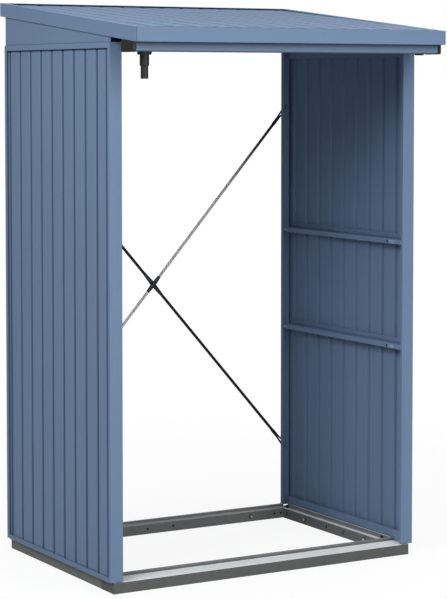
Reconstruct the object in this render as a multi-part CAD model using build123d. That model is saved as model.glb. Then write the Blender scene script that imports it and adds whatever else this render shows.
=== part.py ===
from build123d import *
import math
import os

os.makedirs("parts", exist_ok=True)

# Open log store of folded sheet steel. Lengths are millimetres: X runs along the front, Y to the
# back and Z up. The origin is on the ground, in the middle of the outline seen from above.

# Sheet gauges and bends
base_steel = 1.2
frame_steel = 1.0
panel_steel = 0.8
frame_bend = 1.5
panel_bend = 2.0
running_clearance = 0.3

# Base frame: a ring of folded rails with a ledge for a floor and a raised ridge
base_width = 1196.0
base_depth = 817.0
ledge_height = 38.0
ridge_height = 48.0
ridge_width = 18.0
sill_ledge = 74.5
rear_ledge = 31.0
side_ledge = 17.0
side_ridge_width = 22.0
side_step = 12.0
base_return = 16.0
rear_ridge = 11.5
floor_hole = 8.0
floor_hole_height = 20.0
ridge_hole = 8.0
ridge_hole_height = 43.0
rear_hole_setbacks = (62.0, 90.0, 199.0)
rear_hole_spacing = 110.0
side_hole_front_setbacks = (116.5, 257.0, 371.0)
side_hole_rear_setbacks = (29.0, 156.5)
ridge_hole_front_setback = 22.5
ridge_hole_rear_setback = 9.0

# Side walls: a post at each end, a rail at foot and top, a ribbed panel between them
wall_side_lap = 14.0
wall_front_lap = 2.5
wall_rear_lap = 6.1
wall_top = 1834.0
post_foot_gap = 2.5
post_face = 47.0
front_lip = 13.0
rear_lip = 20.5
rail_width = 26.0
rail_outer_lip = 18.0
rail_inner_lip = 40.0
panel_recess = 5.0
rib_pitch = 86.0
rib_mouth = 19.0
rib_floor = 11.0
rib_depth = 9.0
first_rib = 15.5

# Rails across the inside of each wall, for shelves or a strap
inner_rail_heights = (742.5, 1121.5)
inner_rail_face = 17.0
inner_rail_flange = 19.0
inner_rail_return = 16.0
inner_rail_hole = 8.0
inner_rail_hole_setback = 100.0
inner_rail_rear_gap = 18.0

# Roof: a ribbed sheet that falls to the front, framed by folded trims
roof_inset = 1.0
front_overhang = 187.0
rear_overhang = 37.4
front_rise = 48.0
roof_fall = 108.0
trim_depth = 48.5
verge_flange = 21.0
verge_lip = 4.0
rear_flange = 20.0
fascia_return = 27.0
rear_return = 15.0
fascia_hem = 4.5
fascia_flange = 21.5
sheet_front_drop = 7.5
sheet_rear_drop = 15.0
sheet_edge_strip = 26.0
roof_groove_pitch = 84.6
roof_groove_edge = 60.0

# Members that carry the roof
beam_width = 38.0
beam_setback = 13.0
purlin_height = 40.0
purlin_place = 0.0
gable_return = 13.0
gable_inset = 5.0
gable_tuck = 15.0

# Gutter hung behind the front fascia, with an outlet at one end and a plug at the other
gutter_width = 78.0
gutter_drop = 79.5
gutter_front_height = 59.5
gutter_rear_height = 63.5
gutter_hem = 8.0
gutter_corner = 6.0
cap_plate = 3.0
cap_skirt = 10.0
cap_wall = 1.6
outlet_setback = 61.0
outlet_hole = 28.0
outlet_flange_diameter = 48.0
outlet_flange_foot = 44.0
outlet_flange_height = 10.0
outlet_flange_rim = 5.0
outlet_collar = 3.5
socket_diameter = 31.0
socket_length = 36.5
socket_chamfer = 2.0
spout_diameter = 25.0
spout_length = 41.5
spout_insert = 30.0
insert_diameter = 24.0
spout_bore = 21.0
spout_chamfer = 1.5
plug_flange_diameter = 34.5
plug_flange_height = 2.8
plug_foot_diameter = 25.0
plug_foot_height = 2.5
plug_recess = 16.0

# Bracing across the back: each stay is a loop of wire rope, so two strands run side by side
rope_diameter = 5.0
strand_gap = 0.6
stay_gap = 0.8
lower_bolt_height = 275.0
upper_bolt_drop = 228.5
eye_radius = 8.5
eye_length = 60.0
ferrule_wall = 1.2
ferrule_length = 36.0
bolt_diameter = 8.0
washer_diameter = 18.0
washer_height = 1.6
bolt_head_height = 5.5
bolt_head_across = 13.0
clip_wall = 1.6
clip_edge_wall = 0.7
clip_hub_length = 24.0
clip_lengths = {1: 62.0, -1: 95.0}

# Places that follow from the sizes above
base_x = base_width / 2
wall_x = base_x + wall_side_lap
wall_depth = wall_front_lap + base_depth + wall_rear_lap
roof_depth = front_overhang + wall_depth + rear_overhang
roof_front = -roof_depth / 2
roof_rear = roof_depth / 2
wall_front = roof_front + front_overhang
wall_rear = wall_front + wall_depth
base_front = wall_front + wall_front_lap
base_rear = base_front + base_depth
base_middle = (base_front + base_rear) / 2
post_inner = wall_x - post_face
rail_inner = wall_x - rail_width
ridge_outer = base_x - side_step
ridge_inner = ridge_outer - side_ridge_width
side_inner = ridge_inner - side_ledge
sill_ridge = base_front + sill_ledge
sill_inner = sill_ridge + ridge_width
rear_ridge_face = base_rear - rear_ridge
rear_inner = rear_ridge_face - rear_ledge
panel_face = wall_x - panel_recess
panel_back = panel_face - rib_depth - panel_steel
roof_x = wall_x - roof_inset
front_height = wall_top + front_rise
rear_height = front_height + roof_fall
trim_slope = (rear_height - front_height) / (roof_rear - roof_front)
sheet_front = roof_front + fascia_hem + frame_bend + running_clearance
sheet_rear = roof_rear - frame_steel - 2 * running_clearance
pan_front = front_height - sheet_front_drop
pan_rear = rear_height - sheet_rear_drop
pan_slope = (pan_rear - pan_front) / (sheet_rear - sheet_front)
gable_face = wall_x - gable_inset
gutter_bottom = front_height - gutter_drop
gutter_end = roof_x - frame_steel - running_clearance - cap_plate
outlet_x = gutter_end - outlet_setback
gutter_front = roof_front + fascia_return
gutter_rear = gutter_front + gutter_width
gutter_middle = (gutter_front + gutter_rear) / 2
brace_bolt_x = wall_x - post_face / 2
upper_bolt_height = wall_top - upper_bolt_drop
brace_middle = (lower_bolt_height + upper_bolt_height) / 2
brace_rise = upper_bolt_height - brace_middle
brace_angle = math.degrees(math.atan2(brace_rise, brace_bolt_x))
strand_offset = (rope_diameter + strand_gap) / 2
rope_plane = wall_rear + running_clearance + rope_diameter / 2
rope_planes = {1: rope_plane, -1: rope_plane + rope_diameter + stay_gap}


def folded(points, steel, bend):
    """Section of a sheet folded along the points, with the metal on the right of the path."""
    path = FilletPolyline(*points, radius=bend)
    way = (Vector(*points[1]) - Vector(*points[0])).normalized()
    in_metal = Vector(*points[0]) + way * steel + Vector(way.Y, -way.X) * steel / 2
    sides = (Side.RIGHT, Side.LEFT)
    outlines = [path.offset_2d(steel, kind=Kind.ARC, side=side, closed=True) for side in sides]
    sections = [make_face(outline.edges()) for outline in outlines]
    return next(section for section in sections if section.is_inside(in_metal))


def along_x(section, start, end):
    """Bar with a (y, z) section, from x = start to x = end."""
    return Pos(start, 0, 0) * extrude(Plane.YZ * section, end - start, dir=(1, 0, 0))


def along_y(section, start, end, slope=0.0):
    """Bar with an (x, z) section, from y = start to y = end, climbing by the slope."""
    length = (end - start) * math.hypot(1, slope)
    return Pos(0, start, 0) * extrude(Plane.XZ * section, length, dir=(0, 1, slope))


def along_z(section, start, end):
    """Bar with an (x, y) section, from z = start to z = end."""
    return Pos(0, 0, start) * extrude(section, end - start)


def block(x, y, z):
    """Box between the two values given for each axis."""
    box = Box(x[1] - x[0], y[1] - y[0], z[1] - z[0])
    return Pos((x[0] + x[1]) / 2, (y[0] + y[1]) / 2, (z[0] + z[1]) / 2) * box


def trim_top(y):
    """Height of the top of the roof's trims."""
    return front_height + trim_slope * (y - roof_front)


def sheet_underside(y):
    """Height of the underside of the roof sheet's grooves."""
    return pan_front - panel_steel + pan_slope * (y - sheet_front)


def ribs(first, pitch, count, depth):
    """Points of trapezoid ribs, four to each rib, in the sheet's own length and height."""
    points = []
    for k in range(count):
        middle = first + k * pitch
        points.append((middle - rib_mouth / 2, 0.0))
        points.append((middle - rib_floor / 2, depth))
        points.append((middle + rib_floor / 2, depth))
        points.append((middle + rib_mouth / 2, 0.0))
    return points


def round_holes(diameter, plane_axis, places):
    """Short drills at the places, along X or Y, for holes through one thickness of sheet."""
    drill = Cylinder(diameter / 2, 4 * base_steel)
    turn = Rot(0, 90, 0) if plane_axis == "x" else Rot(90, 0, 0)
    return [Pos(*place) * turn * drill for place in places]


def closed_ends(front, rear, start):
    """Both ends of a front or rear rail beyond its ridge, from x = start out, closed by flaps."""
    section = folded([
        (front + base_return, 0), (front, 0), (front, ledge_height),
        (rear, ledge_height), (rear, 0), (rear - base_return, 0),
    ], base_steel, frame_bend)
    outline = Polyline([(front, 0), (rear, 0), (rear, ledge_height), (front, ledge_height)], close=True)
    face = make_face(outline)
    flap = fillet(face.vertices(), frame_bend)
    end = along_x(section, start, base_x) + along_x(flap, base_x - base_steel, base_x)
    return end + mirror(end, about=Plane.YZ)


def base_front_sill():
    """Front rail: outer face, wide ledge, then the ridge, which stops where the walls stand."""
    section = folded([
        (base_front + base_return, 0), (base_front, 0),
        (base_front, ledge_height), (sill_ridge, ledge_height),
        (sill_ridge, ridge_height), (sill_inner, ridge_height),
        (sill_inner, 0), (sill_inner - base_return, 0),
    ], base_steel, frame_bend)
    rail = along_x(section, -ridge_outer, ridge_outer)
    return rail + closed_ends(base_front, sill_inner, ridge_outer)


def base_rear_rail():
    """Rear rail: inner face with screw holes, ledge, and a narrow ridge between the rear posts."""
    section = folded([
        (rear_inner + base_return, 0), (rear_inner, 0),
        (rear_inner, ledge_height), (rear_ridge_face, ledge_height),
        (rear_ridge_face, ridge_height), (base_rear, ridge_height),
        (base_rear, 0), (base_rear - base_return, 0),
    ], base_steel, frame_bend)
    rail = along_x(section, -post_inner, post_inner)
    rail += closed_ends(rear_inner, base_rear, post_inner)
    offsets = [rear_hole_spacing / 2] + [base_x - setback for setback in rear_hole_setbacks]
    places = [(side * x, rear_inner, floor_hole_height) for x in offsets for side in (-1, 1)]
    return rail - round_holes(floor_hole, "y", places)


def base_side_rail():
    """Right side rail: inner ledge, ridge, and a lower outer step that carries the wall."""
    section = folded([
        (side_inner + base_return, 0), (side_inner, 0),
        (side_inner, ledge_height), (ridge_inner, ledge_height),
        (ridge_inner, ridge_height), (ridge_outer, ridge_height),
        (ridge_outer, ledge_height), (base_x, ledge_height),
        (base_x, 0), (base_x - base_return, 0),
    ], base_steel, frame_bend)
    rail = along_y(section, sill_inner, rear_inner)
    floor_places = [sill_inner + setback for setback in side_hole_front_setbacks]
    floor_places += [rear_inner - setback for setback in side_hole_rear_setbacks]
    ridge_places = (sill_inner + ridge_hole_front_setback, rear_inner - ridge_hole_rear_setback)
    rail -= round_holes(floor_hole, "x", [(side_inner, y, floor_hole_height) for y in floor_places])
    return rail - round_holes(ridge_hole, "x", [(ridge_inner, y, ridge_hole_height) for y in ridge_places])


def front_post():
    """Right front post: a shallow channel that opens to the back."""
    section = folded([
        (wall_x, wall_front + front_lip), (wall_x, wall_front),
        (post_inner, wall_front), (post_inner, wall_front + front_lip),
    ], frame_steel, frame_bend)
    return along_z(section, ledge_height + post_foot_gap, wall_top)


def rear_post():
    """Right rear post: a deeper channel that opens to the front, drilled for the brace bolts."""
    section = folded([
        (post_inner, wall_rear - rear_lip), (post_inner, wall_rear),
        (wall_x, wall_rear), (wall_x, wall_rear - rear_lip),
    ], frame_steel, frame_bend)
    post = along_z(section, ledge_height + post_foot_gap, wall_top)
    places = [(brace_bolt_x, wall_rear, z) for z in (lower_bolt_height, upper_bolt_height)]
    return post - round_holes(bolt_diameter + 2 * running_clearance, "y", places)


def wall_bottom_rail():
    """Right foot rail: an uneven channel that stands on the step of the base rail."""
    section = folded([
        (wall_x, ledge_height + rail_outer_lip), (wall_x, ledge_height),
        (rail_inner, ledge_height), (rail_inner, ledge_height + rail_inner_lip),
    ], frame_steel, frame_bend)
    return along_y(section, wall_front + front_lip, wall_rear - rear_lip)


def wall_top_rail():
    """Right top rail: the same channel turned over."""
    section = folded([
        (rail_inner, wall_top - rail_inner_lip), (rail_inner, wall_top),
        (wall_x, wall_top), (wall_x, wall_top - rail_outer_lip),
    ], frame_steel, frame_bend)
    return along_y(section, wall_front + front_lip, wall_rear - rear_lip)


def wall_panel():
    """Right wall sheet: narrow channels run down it and stand out as ribs on the inside."""
    first = wall_front + first_rib
    end = wall_rear - frame_steel - running_clearance
    count = int((end - first) // rib_pitch) + 1
    outline = ribs(first, rib_pitch, count, rib_depth)[2:]
    outline = [(first - rib_floor / 2, rib_depth)] + outline + [(end, 0.0)]
    points = [(panel_face - depth, y) for y, depth in reversed(outline)]
    section = folded(points, panel_steel, panel_bend)
    return along_z(section, ledge_height + frame_steel, wall_top - frame_steel)


def inner_rail(bottom):
    """Right inner rail: a flange against the ribs and a raised face in line with the posts."""
    step = bottom + inner_rail_face
    section = folded([
        (panel_back, step + inner_rail_flange), (panel_back, step),
        (post_inner + frame_steel, step), (post_inner + frame_steel, bottom + frame_steel),
        (post_inner + frame_steel + inner_rail_return, bottom + frame_steel),
    ], frame_steel, frame_bend)
    rail = along_y(section, wall_front + front_lip, wall_rear - rear_lip - inner_rail_rear_gap)
    hole = (post_inner, wall_front + inner_rail_hole_setback, bottom + inner_rail_face / 2)
    return rail - round_holes(inner_rail_hole, "x", [hole])


def gable():
    """Right gable: a wedge shaped tray under the verge, open at the front and along its top."""
    top_front = trim_top(wall_front) - trim_depth + gable_tuck
    top_rear = trim_top(wall_rear) - trim_depth + gable_tuck
    outline = Polyline([(wall_front, wall_top), (wall_rear, wall_top), (wall_rear, top_rear),
                        (wall_front, top_front)], close=True)
    tray = along_x(make_face(outline), gable_face - gable_return, gable_face)
    hollow = block((gable_face - gable_return, gable_face - frame_steel),
                   (wall_front, wall_rear - frame_steel),
                   (wall_top + frame_steel, rear_height))
    return tray - hollow


def roof_sheet():
    """Roof sheet: raised flats with narrow grooves between them, running from back to front."""
    half = roof_x - frame_steel - running_clearance
    strip = roof_x - sheet_edge_strip
    flat = strip - (rib_mouth - rib_floor) / 2
    count = int(2 * (roof_x - roof_groove_edge) // roof_groove_pitch) + 1
    first = -(count - 1) * roof_groove_pitch / 2
    grooves = [(x, rib_depth - depth) for x, depth in ribs(first, roof_groove_pitch, count, rib_depth)]
    left_edge = [(-half, 0.0), (-strip, 0.0), (-flat, rib_depth)]
    right_edge = [(flat, rib_depth), (strip, 0.0), (half, 0.0)]
    points = left_edge + grooves + right_edge
    section = folded([(x, pan_front + height) for x, height in points], panel_steel, panel_bend)
    return along_y(section, sheet_front, sheet_rear, pan_slope)


def verge_trim():
    """Right verge: outer face, top flange and a short inner lip, cut back for front and rear trims."""
    section = folded([
        (roof_x - verge_flange, front_height - verge_lip), (roof_x - verge_flange, front_height),
        (roof_x, front_height), (roof_x, front_height - trim_depth),
    ], frame_steel, frame_bend)
    trim = along_y(section, roof_front, roof_rear, trim_slope)
    inside = (roof_x - verge_flange, roof_x - frame_steel)
    heights = (front_height - trim_depth, rear_height)
    rear_end = roof_rear - rear_flange - running_clearance
    trim -= block(inside, (roof_front, sheet_front), heights)
    return trim - block(inside, (rear_end, roof_rear), heights)


def front_fascia():
    """Front fascia: a return under it, a hemmed top edge and a flange that carries the sheet."""
    hem = roof_front + fascia_hem
    section = folded([
        (gutter_front, front_height - trim_depth), (roof_front, front_height - trim_depth),
        (roof_front, front_height), (hem, front_height), (hem, sheet_underside(hem)),
        (hem + fascia_flange, sheet_underside(hem + fascia_flange)),
    ], frame_steel, frame_bend)
    return along_x(section, -roof_x + frame_steel, roof_x - frame_steel)


def rear_trim():
    """Rear trim: a top flange over the end of the sheet, rear face and a return under it."""
    front = roof_rear - rear_flange
    section = folded([
        (front, trim_top(front)), (roof_rear, rear_height),
        (roof_rear, rear_height - trim_depth), (roof_rear - rear_return, rear_height - trim_depth),
    ], frame_steel, frame_bend)
    return along_x(section, -roof_x + frame_steel, roof_x - frame_steel)


def roof_beam(front, rear, bottom):
    """Channel across the roof whose sloped top flange lies under the sheet; it opens to the front."""
    section = folded([
        (front, sheet_underside(front)), (rear, sheet_underside(rear)),
        (rear, bottom), (front, bottom),
    ], frame_steel, frame_bend)
    return along_x(section, -gable_face + frame_steel, gable_face - frame_steel)


def gutter():
    """Gutter trough with rounded lower corners, a hemmed front edge and two outlet holes."""
    section = folded([
        (gutter_rear, gutter_bottom + gutter_rear_height), (gutter_rear, gutter_bottom),
        (gutter_front, gutter_bottom), (gutter_front, gutter_bottom + gutter_front_height),
        (gutter_front + gutter_hem, gutter_bottom + gutter_front_height),
    ], frame_steel, [gutter_corner, gutter_corner, frame_bend])
    trough = along_x(section, -gutter_end, gutter_end)
    drill = Cylinder(outlet_hole / 2, 4 * frame_steel)
    for side in (-1, 1):
        trough -= Pos(side * outlet_x, gutter_middle, gutter_bottom) * drill
    return trough


def trough_outline(outset, top):
    """Face with the trough's outline, set out by the outset at its front, foot and rear."""
    front = gutter_front - outset
    rear = gutter_rear + outset
    foot = gutter_bottom - outset
    face = make_face(Polyline([(front, foot), (rear, foot), (rear, top), (front, top)], close=True))
    lower = face.vertices().sort_by(Axis.Y)[:2]
    return fillet(lower, gutter_corner + outset)


def gutter_cap():
    """Right end cap: a plate over the end of the trough and a skirt that wraps its outside."""
    plate_end = gutter_end + cap_plate
    skirt_top = front_height - trim_depth - running_clearance
    outside = trough_outline(running_clearance + cap_wall, skirt_top)
    way = trough_outline(running_clearance, rear_height)
    plate = trough_outline(0.0, gutter_bottom + gutter_rear_height)
    cap = along_x(outside, gutter_end - cap_skirt, plate_end)
    cap -= along_x(way, gutter_end - cap_skirt, gutter_end)
    return cap + along_x(plate, gutter_end, plate_end)


def turned(points):
    """Body of revolution about Z from its half outline of (radius, height) points, top to foot."""
    outline = Polyline([(0, points[0][1])] + points + [(0, points[-1][1])], close=True)
    return revolve(Plane.XZ * make_face(outline), Axis.Z)


def gutter_outlet():
    """Left outlet: a neck through the gutter, a flange under it and a socket for the spout."""
    neck = outlet_hole / 2 - running_clearance
    flange = outlet_flange_diameter / 2
    flange_foot = outlet_flange_foot / 2
    socket = socket_diameter / 2
    foot = -outlet_flange_height - socket_length
    body = turned([
        (neck, outlet_collar), (neck, 0), (flange, 0), (flange, -outlet_flange_rim),
        (flange_foot, -outlet_flange_height), (socket, -outlet_flange_height),
        (socket, foot + socket_chamfer), (socket - socket_chamfer, foot),
    ])
    body -= Cylinder(spout_bore / 2, 4 * socket_length)
    seat = (insert_diameter + running_clearance) / 2
    body -= Pos(0, 0, foot) * Cylinder(seat, spout_insert, align=(Align.CENTER, Align.CENTER, Align.MIN))
    return Pos(-outlet_x, gutter_middle, gutter_bottom) * body


def outlet_spout():
    """Spout that plugs up into the socket, with a bevelled lower end for a hose."""
    foot = -outlet_flange_height - socket_length
    radius = spout_diameter / 2
    end = foot - spout_length
    insert = insert_diameter / 2
    body = turned([
        (insert, foot + spout_insert), (insert, foot),
        (radius, foot), (radius, end + spout_chamfer), (radius - spout_chamfer, end),
    ])
    body -= Pos(0, 0, end) * Cylinder(spout_bore / 2, 4 * spout_length)
    return Pos(-outlet_x, gutter_middle, gutter_bottom) * body


def gutter_plug():
    """Plug that closes the right outlet hole, with a recess under its flange."""
    neck = outlet_hole / 2 - running_clearance
    flange = plug_flange_diameter / 2
    foot = -plug_flange_height - plug_foot_height
    body = turned([
        (neck, outlet_collar), (neck, 0), (flange, 0), (flange, -plug_flange_height),
        (plug_foot_diameter / 2, foot), (plug_recess / 2, foot), (plug_recess / 2, foot / 2),
    ])
    return Pos(outlet_x, gutter_middle, gutter_bottom) * body


def rope_eye():
    """Loop of rope round a bolt at the origin, closed by a pressed ferrule that points along +X."""
    mouth = Vector(eye_length, 0, strand_offset)
    tilt = math.atan2(mouth.Z, mouth.X) + math.acos(eye_radius / mouth.length)
    touch = Vector(eye_radius * math.cos(tilt), 0, eye_radius * math.sin(tilt))
    upper = Line(mouth, touch)
    bend = ThreePointArc(touch, (-eye_radius, 0, 0), (touch.X, 0, -touch.Z))
    lower = Line((touch.X, 0, -touch.Z), (mouth.X, 0, -mouth.Z))
    section = Plane(origin=mouth, z_dir=touch - mouth) * Circle(rope_diameter / 2)
    loop = sweep(section, Wire([upper, bend, lower]))
    press = SlotCenterToCenter(2 * strand_offset, rope_diameter + 2 * ferrule_wall)
    ferrule = extrude(Plane.YZ * Rot(0, 0, 90) * press, ferrule_length, dir=(1, 0, 0))
    return loop + Pos(eye_length - rope_diameter, 0, 0) * ferrule


def brace_eye(side, level, plane):
    """Eye at one rope end, turned to the crossing: side -1 is left, level -1 is low."""
    angle = math.radians(brace_angle)
    turn = math.degrees(math.atan2(level * math.sin(angle), -side * math.cos(angle)))
    height = brace_middle + level * brace_rise
    return Pos(side * brace_bolt_x, plane, height) * Rot(0, turn, 0) * rope_eye()


def brace_bolt(side, level, plane):
    """Bolt through a rear post: nut inside, bush and washer for the eye, head at the back."""
    washer = plane + rope_diameter / 2 + running_clearance
    head = washer + washer_height
    nut = wall_rear - frame_steel - bolt_head_height
    bush = eye_radius - rope_diameter / 2 - running_clearance
    outline = Polyline([
        (0, nut), (bolt_diameter / 2, nut), (bolt_diameter / 2, wall_rear),
        (bush, wall_rear), (bush, washer),
        (washer_diameter / 2, washer), (washer_diameter / 2, head), (0, head),
    ], close=True)
    body = revolve(make_face(outline), Axis.Y)
    hexagon = RegularPolygon(bolt_head_across / 2, 6, major_radius=False)
    for start in (nut, head):
        body += Pos(0, start, 0) * extrude(Plane.XZ * hexagon, bolt_head_height, dir=(0, 1, 0))
    return Pos(side * brace_bolt_x, 0, brace_middle + level * brace_rise) * body


def across_stay(section, x=0.0):
    """Section set across the stay's own X axis, its long side upright."""
    return Pos(x, 0, 0) * Plane.YZ * Rot(0, 0, 90) * section


def on_stay(slope, plane, piece):
    """Piece centred on the crossing, turned to rise to the right for slope 1 and to fall for -1."""
    return Pos(0, plane, brace_middle) * Rot(0, -slope * brace_angle, 0) * piece


def brace_rope(slope, plane):
    """The two taut strands of a stay, between the ends of its ferrules."""
    reach = math.hypot(brace_bolt_x, brace_rise) - (eye_length - rope_diameter + ferrule_length)
    strands = []
    for side in (-1, 1):
        section = across_stay(Pos(side * strand_offset, 0) * Circle(rope_diameter / 2))
        strands.append(on_stay(slope, plane, extrude(section, reach, both=True)))
    return Compound(strands)


def clip_sleeve(length):
    """Sleeve of the clip along X, thickened in steps from its ends to the crossing."""
    bore = rope_diameter + 2 * running_clearance
    middle_wall = (clip_wall + clip_edge_wall) / 2
    middle_length = (clip_hub_length + length) / 2
    edge = across_stay(SlotCenterToCenter(2 * strand_offset, bore + 2 * clip_edge_wall))
    sleeve = extrude(edge, length / 2, both=True)
    for wall, reach in ((middle_wall, middle_length), (clip_wall, clip_hub_length)):
        step = across_stay(SlotCenterToCenter(2 * strand_offset, bore + 2 * wall))
        sleeve += extrude(step, reach / 2, both=True)
    return sleeve


def brace_clip():
    """Moulded clip at the crossing: a tapered sleeve for each stay, joined where they cross."""
    bore = SlotCenterToCenter(2 * strand_offset, rope_diameter + 2 * running_clearance)
    clip = on_stay(1, rope_planes[1], clip_sleeve(clip_lengths[1]))
    clip += on_stay(-1, rope_planes[-1], clip_sleeve(clip_lengths[-1]))
    for slope, plane in rope_planes.items():
        clip -= on_stay(slope, plane, extrude(across_stay(bore), clip_lengths[slope], both=True))
    return clip


front_beam_front = wall_front + beam_setback
rear_beam_rear = wall_rear - frame_steel
purlin_front = base_middle + purlin_place - beam_width / 2
purlin_bottom = sheet_underside(purlin_front) - purlin_height
beam_bottom = wall_top + frame_steel

parts = {
    "base_front_sill": base_front_sill(),
    "base_rear_rail": base_rear_rail(),
    "roof_sheet": roof_sheet(),
    "roof_front_fascia": front_fascia(),
    "roof_rear_trim": rear_trim(),
    "roof_front_beam": roof_beam(front_beam_front, front_beam_front + beam_width, beam_bottom),
    "roof_purlin": roof_beam(purlin_front, purlin_front + beam_width, purlin_bottom),
    "roof_rear_beam": roof_beam(rear_beam_rear - beam_width, rear_beam_rear, beam_bottom),
    "gutter": gutter(),
    "gutter_outlet": gutter_outlet(),
    "gutter_outlet_spout": outlet_spout(),
    "gutter_plug": gutter_plug(),
    "brace_clip": brace_clip(),
}

# Pieces made for the right side and mirrored to the left
paired = {
    "base_{}_rail": base_side_rail(),
    "{}_front_post": front_post(),
    "{}_rear_post": rear_post(),
    "{}_wall_foot_rail": wall_bottom_rail(),
    "{}_wall_top_rail": wall_top_rail(),
    "{}_wall_panel": wall_panel(),
    "{}_lower_inner_rail": inner_rail(inner_rail_heights[0]),
    "{}_upper_inner_rail": inner_rail(inner_rail_heights[1]),
    "{}_gable": gable(),
    "{}_verge_trim": verge_trim(),
    "{}_gutter_cap": gutter_cap(),
}
for name, piece in paired.items():
    parts[name.format("right")] = piece
    parts[name.format("left")] = mirror(piece, about=Plane.YZ)

for slope, plane in rope_planes.items():
    way = "rising" if slope == 1 else "falling"
    parts[f"brace_{way}_rope"] = brace_rope(slope, plane)
    for side, hand in ((-1, "left"), (1, "right")):
        level = side * slope
        height = "upper" if level == 1 else "lower"
        parts[f"brace_{hand}_{height}_eye"] = brace_eye(side, level, plane)
        parts[f"brace_{hand}_{height}_bolt"] = brace_bolt(side, level, plane)

for name, piece in parts.items():
    export_step(piece, f"parts/{name}.step")
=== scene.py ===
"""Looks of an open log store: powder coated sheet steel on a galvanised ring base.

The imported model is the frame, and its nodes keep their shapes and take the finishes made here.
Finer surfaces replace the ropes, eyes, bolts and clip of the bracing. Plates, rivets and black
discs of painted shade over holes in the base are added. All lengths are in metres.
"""

import logging
import math
from dataclasses import dataclass, field
from enum import Enum
from typing import Mapping, Optional, Sequence, Union

import bpy
import numpy as np
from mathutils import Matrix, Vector


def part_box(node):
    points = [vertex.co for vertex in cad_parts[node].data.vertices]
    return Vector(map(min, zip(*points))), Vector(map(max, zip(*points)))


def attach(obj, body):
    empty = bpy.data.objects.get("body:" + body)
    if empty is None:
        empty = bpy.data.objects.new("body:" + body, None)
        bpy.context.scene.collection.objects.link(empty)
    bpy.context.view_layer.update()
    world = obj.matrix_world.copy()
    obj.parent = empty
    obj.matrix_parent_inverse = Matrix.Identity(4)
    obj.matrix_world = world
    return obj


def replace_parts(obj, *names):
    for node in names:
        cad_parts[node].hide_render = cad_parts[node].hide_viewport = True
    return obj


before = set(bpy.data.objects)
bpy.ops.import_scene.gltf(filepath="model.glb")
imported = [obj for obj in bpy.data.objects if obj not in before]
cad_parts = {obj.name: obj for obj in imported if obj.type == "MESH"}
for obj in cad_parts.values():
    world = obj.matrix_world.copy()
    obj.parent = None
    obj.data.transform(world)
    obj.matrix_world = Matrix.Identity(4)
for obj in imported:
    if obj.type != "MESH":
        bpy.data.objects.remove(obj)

LOG = logging.getLogger("log_store")
BODY = "root"
MM = 0.001
TURNED_COLUMNS = 36  # points round a turned body
BACKWARD = (0.0, 1.0, 0.0)
FORWARD = (0.0, -1.0, 0.0)

Colour = tuple[float, float, float]
Point = Union[Sequence[float], np.ndarray]
Axes = tuple[np.ndarray, np.ndarray, np.ndarray]
Rows = Union[float, np.ndarray]
Profile = Sequence[tuple[float, float]]


class Option(Enum):
    """Named option, whose name in lower case is a word of node names."""

    @property
    def word(self) -> str:
        """The option's word."""
        return self.name.lower()


class Side(Option):
    """The two sides of the store."""

    LEFT = -1
    RIGHT = 1

    @property
    def inward(self) -> Point:
        """Direction from this side to the middle."""
        return (-self.value, 0.0, 0.0)

    def inner_face(self, box: np.ndarray) -> float:
        """Place along X of the face of a box on this side that looks to the middle."""
        return self.value * np.abs(box[:, 0]).min()


class Stay(Option):
    """The two crossed stays, by the way they go from left to right."""

    RISING = 1
    FALLING = -1

    def end(self, side: Side) -> str:
        """Start of the names of the nodes at the stay's end on a side."""
        return f"brace_{side.word}_{'upper' if side.value == self.value else 'lower'}"


def linear(red: int, green: int, blue: int) -> Colour:
    """Linear colour of three display values.

    Args:
        red, green, blue: display values from 0 to 255.

    Returns:
        The colour as a shader takes it.
    """
    shares = np.array([red, green, blue]) / 255
    low = shares / 12.92
    high = ((shares + 0.055) / 1.055) ** 2.4
    return tuple(float(value) for value in np.where(shares <= 0.04045, low, high))


def tone(colour: Colour, factor: float = 1.0) -> tuple[float, ...]:
    """Colour made darker or lighter by a factor, with full alpha."""
    return (*(min(1.0, share * factor) for share in colour), 1.0)


@dataclass(frozen=True)
class Signal:
    """An output of a shader graph that takes part in arithmetic."""

    graph: "ShaderGraph"
    socket: bpy.types.NodeSocket

    def _maths(self, operation: str, first: "Value", second: "Value") -> "Signal":
        """Result of a Math node with two inputs."""
        made = self.graph.node("ShaderNodeMath", {"operation": operation}, {0: first, 1: second})
        return self.graph.out(made)

    def __add__(self, other: "Value") -> "Signal":
        """Sum."""
        return self._maths("ADD", self, other)

    __radd__ = __add__

    def __sub__(self, other: "Value") -> "Signal":
        """Difference."""
        return self._maths("SUBTRACT", self, other)

    def __rsub__(self, other: "Value") -> "Signal":
        """Difference from a number."""
        return self._maths("SUBTRACT", other, self)

    def __mul__(self, other: "Value") -> "Signal":
        """Product."""
        return self._maths("MULTIPLY", self, other)

    __rmul__ = __mul__

    def __pow__(self, other: "Value") -> "Signal":
        """Power."""
        return self._maths("POWER", self, other)

    def cosine(self) -> "Signal":
        """Cosine of an angle in radians."""
        return self._maths("COSINE", self, 0.0)

    def size(self) -> "Signal":
        """Size without its sign: the root of its square."""
        return (self * self) ** 0.5

    def ramp(self, low: float, high: float) -> "Signal":
        """Smooth step from 0 at low to 1 at high.

        Args:
            low: value that gives 0.
            high: value that gives 1.

        Returns:
            The stepped signal.
        """
        sockets = {"Value": self, "From Min": low, "From Max": high}
        made = self.graph.node("ShaderNodeMapRange", {"interpolation_type": "SMOOTHSTEP"}, sockets)
        return self.graph.out(made, "Result")


Value = Union[Signal, float, tuple]


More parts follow.
